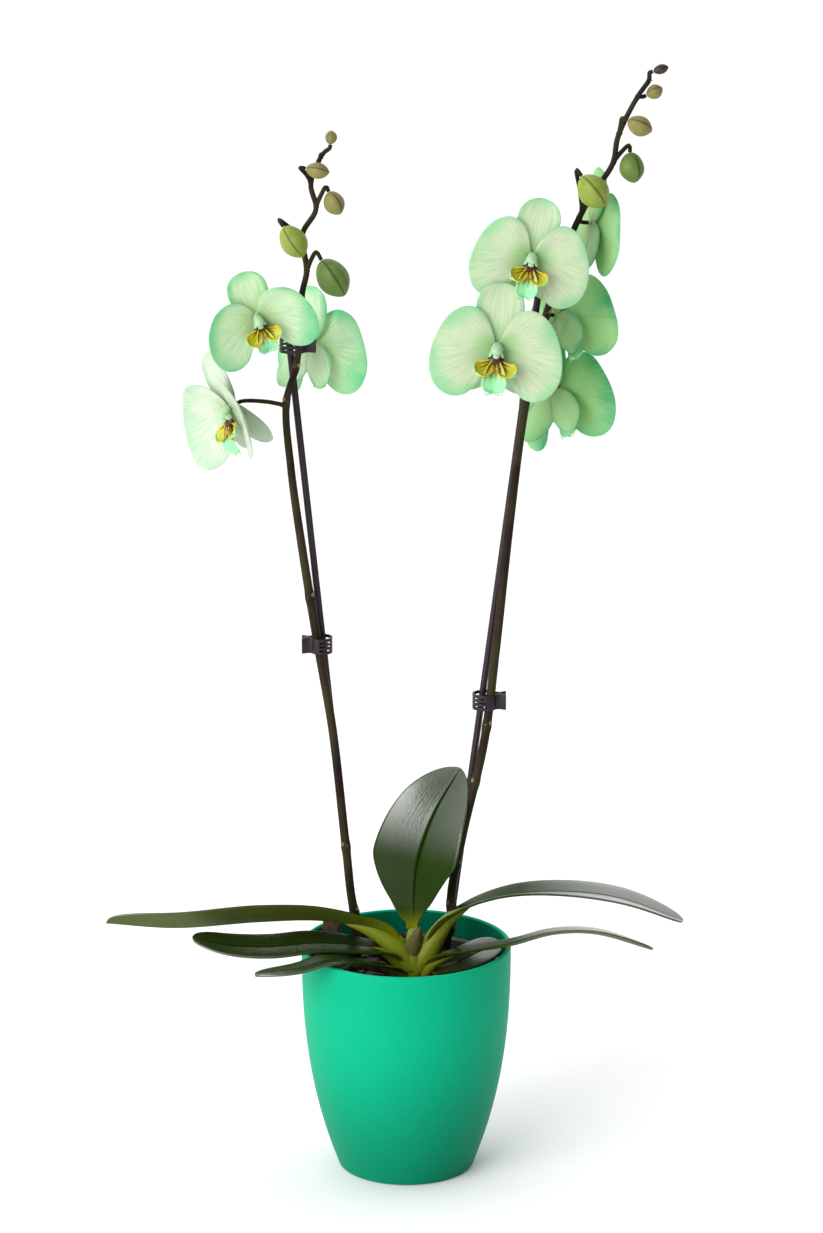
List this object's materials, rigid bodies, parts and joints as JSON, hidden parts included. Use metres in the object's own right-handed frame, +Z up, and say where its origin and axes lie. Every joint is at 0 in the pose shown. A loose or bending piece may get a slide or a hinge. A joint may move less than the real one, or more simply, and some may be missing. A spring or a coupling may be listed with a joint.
{
  "type": "potted moth orchid",
  "caption": "Moth orchid in a tapered plastic cover pot, with strap leaves, bark, and flower spikes clipped to stakes, bearing open flowers and buds.",
  "frame": {"origin": "centre of the cover pot's flat underside", "axes": "+Z up along the pot's axis, -Y towards the viewer of the open flowers, +X to the viewer's right"},
  "size_m": [0.3696, 0.1455, 0.7158],
  "materials": {
    "cover_pot": "matt moulded plastic, fine grain",
    "nursery_pot": "thin dark moulded plastic",
    "bark": "damp chipped pine bark",
    "crown": "smooth fresh green",
    "leaf": "thick glossy leaf",
    "root": "pale felted root",
    "stem": "satin green-brown stem",
    "stake": "dark purple-brown coated rod",
    "clip": "dark purple-brown moulded plastic",
    "bud": "smooth matt bud skin",
    "petal": "soft translucent petal, mint-dyed",
    "sepal": "soft translucent sepal, mint-dyed",
    "lip": "waxy yellow lip, white column"
  },
  "bodies": {
    "root": {"cover_pot": "cover_pot", "nursery_pot": "nursery_pot", "bark_medium": "bark", "crown_stem": "crown", "leaf_upright": "leaf", "leaf_left_upper": "leaf", "leaf_left_middle": "leaf", "leaf_left_lower": "leaf", "leaf_right_upper": "leaf", "leaf_right_lower": "leaf", "leaf_right_inner": "leaf", "root_left": "root", "root_right": "root", "root_back": "root", "spike_left": "stem", "stake_left": "stake", "spike_right": "stem", "stake_right": "stake", "bud_left_1": "bud", "bud_left_2": "bud", "bud_left_3": "bud", "bud_left_4": "bud", "bud_left_5": "bud", "bud_right_1": "bud", "bud_right_2": "bud", "bud_right_3": "bud", "bud_right_4": "bud", "bud_right_5": "bud", "sepals_left_front": "sepal", "petals_left_front": "petal", "lip_left_front": "lip", "sepals_left_low": "sepal", "petals_left_low": "petal", "lip_left_low": "lip", "sepals_left_back": "sepal", "petals_left_back": "petal", "lip_left_back": "lip", "sepals_right_low": "sepal", "petals_right_low": "petal", "lip_right_low": "lip", "sepals_right_high": "sepal", "petals_right_high": "petal", "lip_right_high": "lip", "sepals_right_top": "sepal", "petals_right_top": "petal", "lip_right_top": "lip", "sepals_right_middle": "sepal", "petals_right_middle": "petal", "lip_right_middle": "lip", "sepals_right_back": "sepal", "petals_right_back": "petal", "lip_right_back": "lip", "clip_left_low_rear": "clip", "clip_left_high_rear": "clip", "clip_right_low_rear": "clip"},
    "clip_left_low_jaw": {"clip_left_low_front": "clip"},
    "clip_left_high_jaw": {"clip_left_high_front": "clip"},
    "clip_right_low_jaw": {"clip_right_low_front": "clip"}
  },
  "joints": [
    {"name": "clip_left_low_hinge", "type": "hinge", "parent": "root", "child": "clip_left_low_jaw", "pos_m": [-0.06258, 0.02034, 0.3435], "axis": [0, 0, -1], "range_deg": [0, 30], "stiffness_Nm_per_rad": 0.01, "springref_deg": -34.38},
    {"name": "clip_left_high_hinge", "type": "hinge", "parent": "root", "child": "clip_left_high_jaw", "pos_m": [-0.06014, 0.01725, 0.539], "axis": [0, 0, 1], "range_deg": [0, 30], "stiffness_Nm_per_rad": 0.01, "springref_deg": -34.38},
    {"name": "clip_right_low_hinge", "type": "hinge", "parent": "root", "child": "clip_right_low_jaw", "pos_m": [0.06, 0.02131, 0.306], "axis": [0, 0, 1], "range_deg": [0, 30], "stiffness_Nm_per_rad": 0.01, "springref_deg": -34.38}
  ]
}
